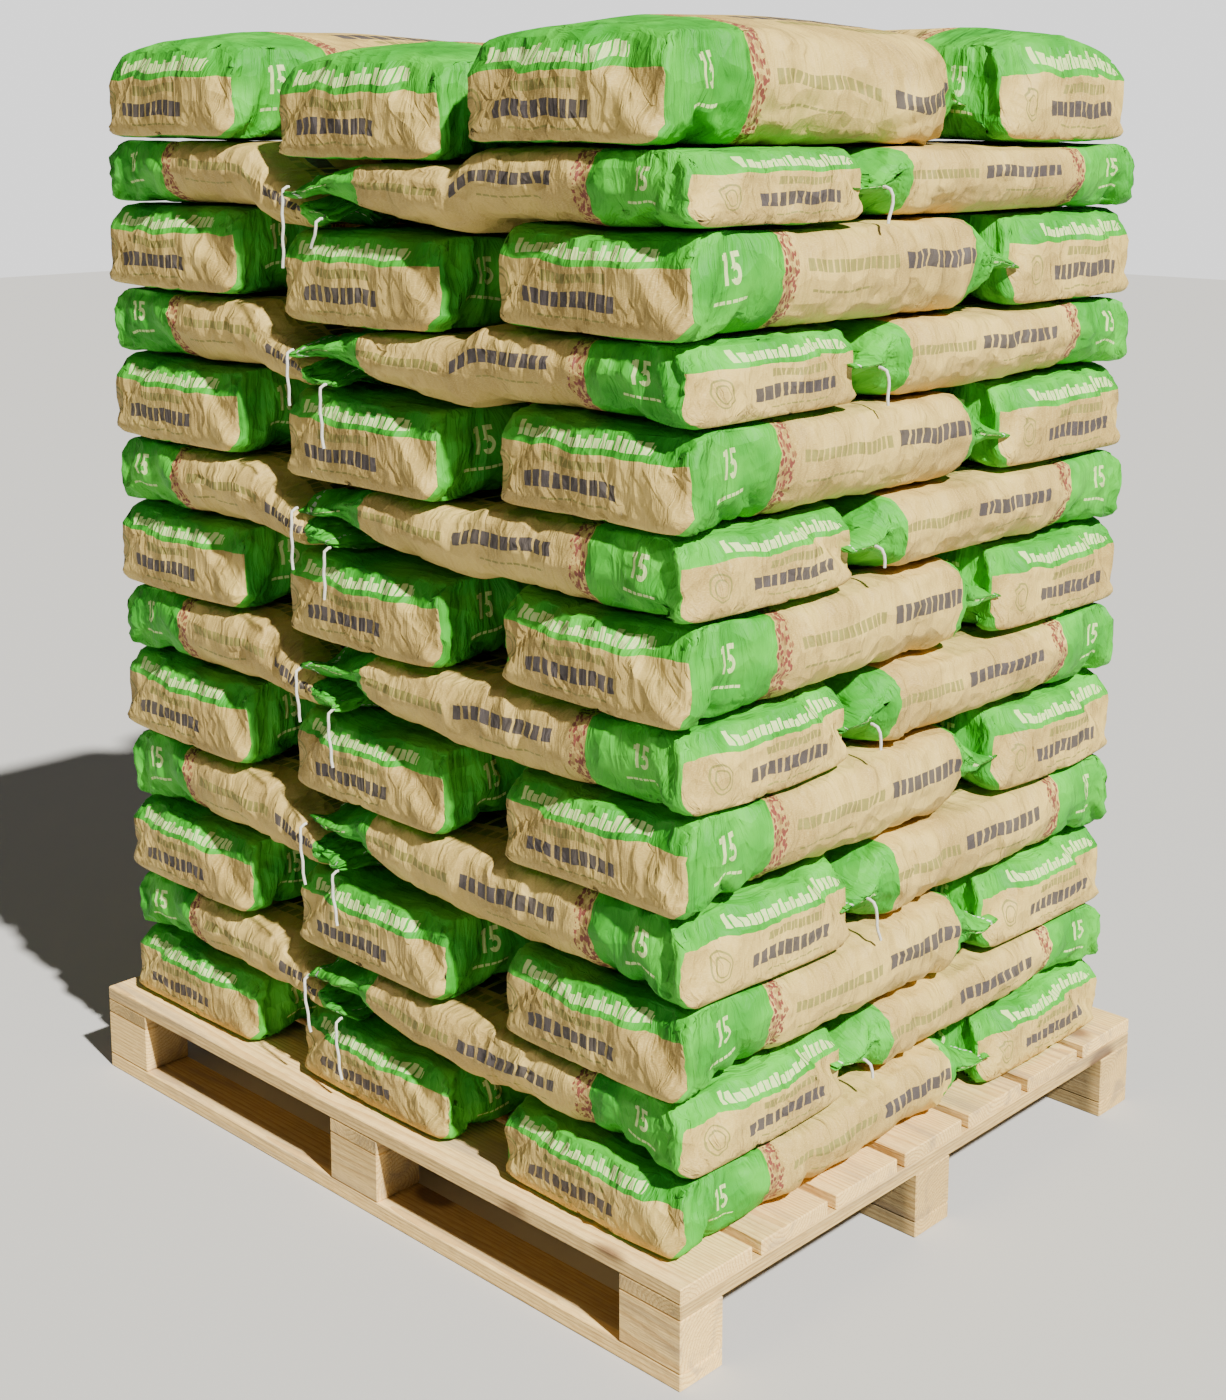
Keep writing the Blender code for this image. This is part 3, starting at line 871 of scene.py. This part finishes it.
def fill_sack(blank, form, seed):
    """Blows the form up by cloth simulation between plates. Returns its points."""
    sack = blank.copy()
    sack.data = blank.data.copy()
    bpy.context.scene.collection.objects.link(sack)
    start = form.copy()
    start[:, 2] += RUFFLE * waves(form, seed, 0.06)
    start[:, 0] += RUFFLE * waves(form, seed + 1, 0.07)
    write_points(sack.data, start)
    held = sack.vertex_groups.new(name="held")
    y = form[:, 1]
    for index in np.nonzero(y < 0.001)[0]:
        held.add([int(index)], HELD_END, "REPLACE")
    for index in np.nonzero(y > SACK_LENGTH - 0.001)[0]:
        held.add([int(index)], HELD_SEAM, "REPLACE")
    plates = (collision_plate(-0.002), collision_plate(SACK_HEIGHT + 0.002))
    cloth = sack.modifiers.new("paper", "CLOTH")
    paper = cloth.settings
    paper.quality = 6
    paper.mass = 0.2
    paper.tension_stiffness = 20
    paper.compression_stiffness = 20
    paper.shear_stiffness = 10
    paper.bending_stiffness = 0.4
    paper.tension_damping = 8
    paper.compression_damping = 8
    paper.shear_damping = 8
    paper.bending_damping = 1.0
    paper.air_damping = 2.0
    paper.use_pressure = True
    paper.uniform_pressure_force = PRESSURE
    paper.shrink_min = -EXTRA_PAPER
    paper.effector_weights.gravity = FILLED_GRAVITY
    paper.vertex_group_mass = "held"
    cloth.collision_settings.distance_min = 0.001
    cloth.collision_settings.collision_quality = 2
    for step in range(1, FILLING_STEPS + 1):
        bpy.context.scene.frame_set(step)
    press = sack.modifiers.new("press", "SMOOTH")
    press.factor = 0.5
    press.iterations = 8
    press.vertex_group = number_place(sack, form)
    shaped = sack.evaluated_get(bpy.context.evaluated_depsgraph_get())
    points = read_points(shaped.data)
    bpy.context.scene.frame_set(1)
    move = points - start
    reach = np.linalg.norm(move, axis=1, keepdims=True)
    points = start + move * np.minimum(1.0, FARTHEST_MOVE / np.maximum(reach, 1e-9))
    for thing in (*plates, sack):
        bpy.data.objects.remove(thing, do_unlink=True)
    return points


def layer_level(number):
    """The unsagged underside of a layer, or the top of the load's flat shoulders."""
    if number > LAYER_COUNT:
        return layer_level(LAYER_COUNT) + TOP_LAYER_HEIGHT
    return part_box(f"sack_layer_{number:02d}")[0][2] + MIDDLE_SAGS[number - 1]


def surface_between(number, x, y):
    """The height of the surface that layer number lies on, at places x, y."""
    level = np.full(len(x), layer_level(number))
    if number == 1:
        return level
    past_half = (np.abs(x) - SAG_HALF_WIDTH[0]) / (SAG_HALF_WIDTH[1] - SAG_HALF_WIDTH[0])
    past_depth = (y - SAG_DEPTH[0]) / (SAG_DEPTH[1] - SAG_DEPTH[0])
    sagging = (1 - smooth_step(past_half)) * (1 - smooth_step(past_depth))
    level -= MIDDLE_SAGS[number - 1] * sagging
    places = np.column_stack((x, y, np.full(len(x), DENT_STEP * number)))
    level += DENT_DEPTH * waves(places, 40 + number, DENT_LENGTH)
    return level


def row_reach(points, values, pick):
    """A smoothed reach of some of the sack's values along its length, at every point."""
    edges = np.linspace(0, SACK_LENGTH, 47)
    middles = (edges[:-1] + edges[1:]) / 2
    reach = [pick(values[np.abs(points[:, 1] - middle) <= 0.013]) for middle in middles]
    return np.interp(points[:, 1], middles, moving_average(reach, 2))


def along_sections(sections, column, y):
    """One column of the cross-sections along a sack, eased at its corners."""
    places = [section[0] for section in sections]
    fine = np.linspace(0, places[-1], 140)
    return np.interp(y, fine, moving_average(np.interp(fine, places, column), 4))


def level_shares(points):
    """Each point's height as a share of its cross-section's, where the sack is full."""
    central = np.abs(points[:, 0]) < CENTRE_HALF_WIDTH
    low = row_reach(points[central], points[central, 2], lambda z: np.percentile(z, 6))
    high = row_reach(points[central], points[central, 2], lambda z: np.percentile(z, 94))
    edges = points[central, 1]
    order = np.argsort(edges)
    low = np.interp(points[:, 1], edges[order], low[order])
    high = np.interp(points[:, 1], edges[order], high[order])
    return low, high


def fit_to_stack(points, sections, left, right):
    """Draws a filled sack into its cross-sections. Returns its points with z as shares."""
    length = sections[-1][0]
    past = np.maximum(points[:, 1] - FREE_LENGTH, 0.0)
    drawn = (length - FREE_LENGTH) / (SACK_LENGTH - FREE_LENGTH)
    along = np.minimum(points[:, 1], FREE_LENGTH) + past * drawn

    fitted = points.copy()
    for sign, profile in ((-1, left), (1, right)):
        own = row_reach(points, points[:, 0] * sign, np.max)
        wanted = along_sections(sections, profile, along)
        on_side = points[:, 0] * sign > 0
        fitted[on_side, 0] *= (wanted / own)[on_side]
    fitted[:, 1] = along

    low, high = level_shares(points)
    under = along_sections(sections, [section[1] for section in sections], along)
    over = along_sections(sections, [section[2] for section in sections], along)
    squeeze = np.minimum((over - under) / ((high - low) / SACK_HEIGHT), MOST_DRAWN)
    middle = (points[:, 2] - (low + high) / 2) / SACK_HEIGHT * squeeze
    span = np.maximum(over - under, LEAST_SPAN)
    fullness = 2 * middle / span
    middle *= 1 + SIDE_FULLNESS * np.maximum(1 - fullness ** 2, 0.0)
    fitted[:, 2] = (under + over) / 2 + middle
    fullness = np.clip(np.abs(2 * middle / span), 0, 1)
    past_end = smooth_step(along / END_ROUNDING_LENGTH)
    rounding = SIDE_ROUNDING * (END_ROUNDING_SHARE + (1 - END_ROUNDING_SHARE) * past_end)
    fitted[:, 0] *= 1 - rounding * fullness ** 2
    return fitted


def shape_flat_end(points, rng):
    """Leans the flat end back, and pulls its upper corners in past a diagonal fold."""
    x, y, share = points.T
    fade = np.clip(1 - y / END_FOLD_DEPTH, 0, 1)
    inward = END_LEAN * np.clip((share - END_LEAN_START) / (1 - END_LEAN_START), 0, 1)
    inward += END_FOOT_LEAN * smooth_step(1 - share / END_FOOT_HEIGHT)
    for side in (-1, 1):
        corner = SACK_WIDTH / 2 - END_CORNER_INSET - side * x
        width = rng.uniform(*END_CORNER_WIDTHS)
        height = rng.uniform(*END_CORNER_HEIGHTS)
        steepness = math.hypot(1 / width, 1 / (height * SACK_HEIGHT))
        past_fold = (share / height - corner / width) / steepness
        pull = rng.uniform(*END_CORNER_SHARES) * END_CORNER_PULL
        inward += pull * smooth_step(past_fold / END_FOLD_WIDTH)
    points[:, 1] = y + inward * fade


def crease_belly(points, rng):
    """A few slanting folds round the sack, where its paper has buckled, each with a low ridge."""
    x, y, share = points.T
    for _ in range(BELLY_CREASES):
        place, slant = rng.uniform(*CREASE_PLACES), rng.uniform(*CREASE_SLANTS)
        depth = rng.uniform(*CREASE_DEPTHS)
        away = (y - place - slant * (share - 0.5)) / CREASE_WIDTH
        fold = np.exp(-away ** 2) - 0.5 * np.exp(-(away - 1.6) ** 2)
        points[:, 0] -= outward(x) * depth * fold


def crumple_sewn_end(points, length, kind, seed):
    """Gathers the paper towards the seam, and lets the seam wander. Returns heights to add."""
    x, y, share = points.T
    near = smooth_step((y - length + GATHER_LENGTH) / GATHER_LENGTH)
    flat = np.column_stack((GATHER_STRETCH * x, y, GATHER_STRETCH * share * SACK_HEIGHT))
    gathers = np.abs(waves(flat, seed + 17, GATHER_PITCH)) - 0.6
    points[:, 0] += outward(x) * GATHER_DEPTH * gathers * near
    tip = smooth_step((y - length + SEWN_FLAP_LENGTH) / SEWN_FLAP_LENGTH)
    points[:, 1] -= SEWN_FLAP_PULL * tip * np.abs(waves(points, seed + 19, SEWN_FLAP_PITCH))
    along_seam = np.column_stack((x, 0.5 * y, 0 * y))
    return SEWN_WANDER[kind] * tip * waves(along_seam, seed + 23, SEWN_WANDER_PITCH)


def slump(points):
    """Lets a sack's right side bulge out and down. Returns heights to add."""
    share = np.exp(-((points[:, 1] - SLUMP_PLACE) / SLUMP_LENGTH) ** 2)
    lower = -SLUMP_DROP * share * smooth_step((points[:, 0] - 0.11) / 0.06)
    points[:, 0] += SLUMP_OUTWARD * share * smooth_step(points[:, 0] / 0.15)
    return lower


def shape_sack(filled, name, kind, number, seed, rng):
    """Fits a filled sack to its place and gives it folds of its own. Returns its points, with z
    as shares of its height, and heights to add."""
    length = SECTIONS[kind][-1][0]
    points = fit_to_stack(filled, SECTIONS[kind], *SIDES[name])
    wide = WIDE_WAVES[0] * waves(points, seed, WIDE_WAVES[1])
    narrow = NARROW_WAVES[0] * waves(points, seed + 7, NARROW_WAVES[1])
    points[:, 0] += outward(points[:, 0]) * (wide + narrow)
    points[:, 1] += rng.uniform(0.0, SETBACK) * (1 - points[:, 1] / length)
    shape_flat_end(points, rng)
    crease_belly(points, rng)
    heights = crumple_sewn_end(points, length, kind, seed)
    if number == LAYER_COUNT and name == "crosswise_right":
        heights += slump(points)
    return points, heights


def turned_into_place(points, place, number, rng):
    """The x and y of a sack's points in the load."""
    name, _, corner, heading = place
    aside, turn = TOP_LAYER_MOVES[name] if number == LAYER_COUNT else (0.0, 0.0)
    yaw = math.radians(heading + rng.uniform(-TURN, TURN) + turn)
    cos, sin = math.cos(yaw), math.sin(yaw)
    x = corner[0] + aside + cos * points[:, 0] - sin * points[:, 1]
    y = corner[1] + sin * points[:, 0] + cos * points[:, 1]
    if number % 2 == 0:
        return -x, -y
    return x, y


def lay_sack(blank, filled, mirror, number, place):
    """Puts one filled sack into its layer, pressed between the layers below and above it."""
    name, kind, _, _ = place
    seed = number * 10 + len(name)
    rng = np.random.default_rng(seed)
    if rng.random() < 0.5:
        filled = filled[mirror] * np.array((-1.0, 1.0, 1.0))
    points, heights = shape_sack(filled, name, kind, number, seed, rng)
    x, y = turned_into_place(points, place, number, rng)
    under = surface_between(number, x, y) + GAP
    over = surface_between(number + 1, x, y) - GAP
    share = soft_clip(points[:, 2])
    z = under + share * (over - under) + heights
    if number == LAYER_COUNT:
        crown = along_sections(SECTIONS[kind], TOP_LAYER_CROWN, points[:, 1])
        dome = 1 - (points[:, 0] / (np.abs(points[:, 0]).max() + 0.01)) ** 2
        z += crown * dome * smooth_step(share)

    sack = bpy.data.objects.new(f"sack_{number:02d}_{name}", blank.data.copy())
    bpy.context.scene.collection.objects.link(sack)
    write_points(sack.data, np.column_stack((x, y, z)))
    if kind != "crosswise":
        shift_end_print(sack.data, LENGTHWISE_END_SHIFT)
    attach(sack, "root")
    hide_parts(f"sack_layer_{number:02d}")


def soft_clip(share):
    """Presses what stands past a sack's flat underside and top back to them."""
    margin = 0.06
    over = np.maximum(share - (1 - margin), 0.0)
    under = np.maximum(margin - share, 0.0)
    share = np.clip(share, margin, 1 - margin)
    return share + margin * np.tanh(over / margin) - margin * np.tanh(under / margin)


def shift_end_print(mesh, distance):
    """Moves the printed rows of the flat end to the right."""
    totals = read_array(mesh.polygons, "loop_total", 1, np.int32)
    finish_of_face = read_array(mesh.polygons, "material_index", 1, np.int32)
    rows = read_array(mesh.uv_layers["print"].data, "uv", 2)
    rows[:, 0] -= distance * np.repeat(finish_of_face, totals)
    mesh.uv_layers["print"].data.foreach_set("uv", rows.ravel())


def build_sacks():
    blank = empty_sack()
    for finish in (side_finish(), end_finish()):
        blank.data.materials.append(finish)
    flat = read_points(blank.data)
    keys = {tuple(np.round(point, 4)): index for index, point in enumerate(flat)}
    mirror = np.array([keys[tuple(np.round(point * (-1, 1, 1), 4) + 0.0)] for point in flat])
    form = folded_form(flat)
    versions = [fill_sack(blank, form, seed) for seed in FILLING_SEEDS]
    for number in range(1, LAYER_COUNT + 1):
        for index, place in enumerate(SACK_PLACES):
            filled = versions[(number + index) % len(versions)]
            lay_sack(blank, filled, mirror, number, place)
    bpy.data.objects.remove(blank, do_unlink=True)


# Stage

def build_stage():
    deselect_all()
    bpy.ops.mesh.primitive_plane_add(size=30.0, location=(0, 0, 0))
    floor = bpy.context.object
    floor.name = "floor"
    finish = Finish("pale_floor", 0.9)
    finish.shader.inputs["Base Color"].default_value = FLOOR_GREY
    floor.data.materials.append(finish.material)

    world = bpy.data.worlds.new("studio")
    world.use_nodes = True
    tree = world.node_tree
    backdrop = tree.nodes["Background"]
    backdrop.inputs[0].default_value = (1.0, 1.0, 1.0, 1)
    backdrop.inputs[1].default_value = BACKDROP_STRENGTH
    fill = tree.nodes.new("ShaderNodeBackground")
    fill.inputs[0].default_value = FILL_COLOUR
    fill.inputs[1].default_value = FILL_STRENGTH
    seen = tree.nodes.new("ShaderNodeLightPath")
    either = tree.nodes.new("ShaderNodeMixShader")
    tree.links.new(seen.outputs["Is Camera Ray"], either.inputs[0])
    tree.links.new(fill.outputs[0], either.inputs[1])
    tree.links.new(backdrop.outputs[0], either.inputs[2])
    tree.links.new(either.outputs[0], tree.nodes["World Output"].inputs[0])
    bpy.context.scene.world = world

    key = bpy.data.lights.new("key", "SUN")
    key.energy = SUN_STRENGTH
    key.angle = math.radians(SUN_ANGLE)
    key.color = SUN_COLOUR
    lamp = bpy.data.objects.new("key", key)
    lamp.rotation_euler = SUN_SIDE.to_track_quat("Z", "Y").to_euler()
    bpy.context.scene.collection.objects.link(lamp)


build_camera()
build_threads(thread_finish())
finish_pallet()
build_sacks()
build_stage()
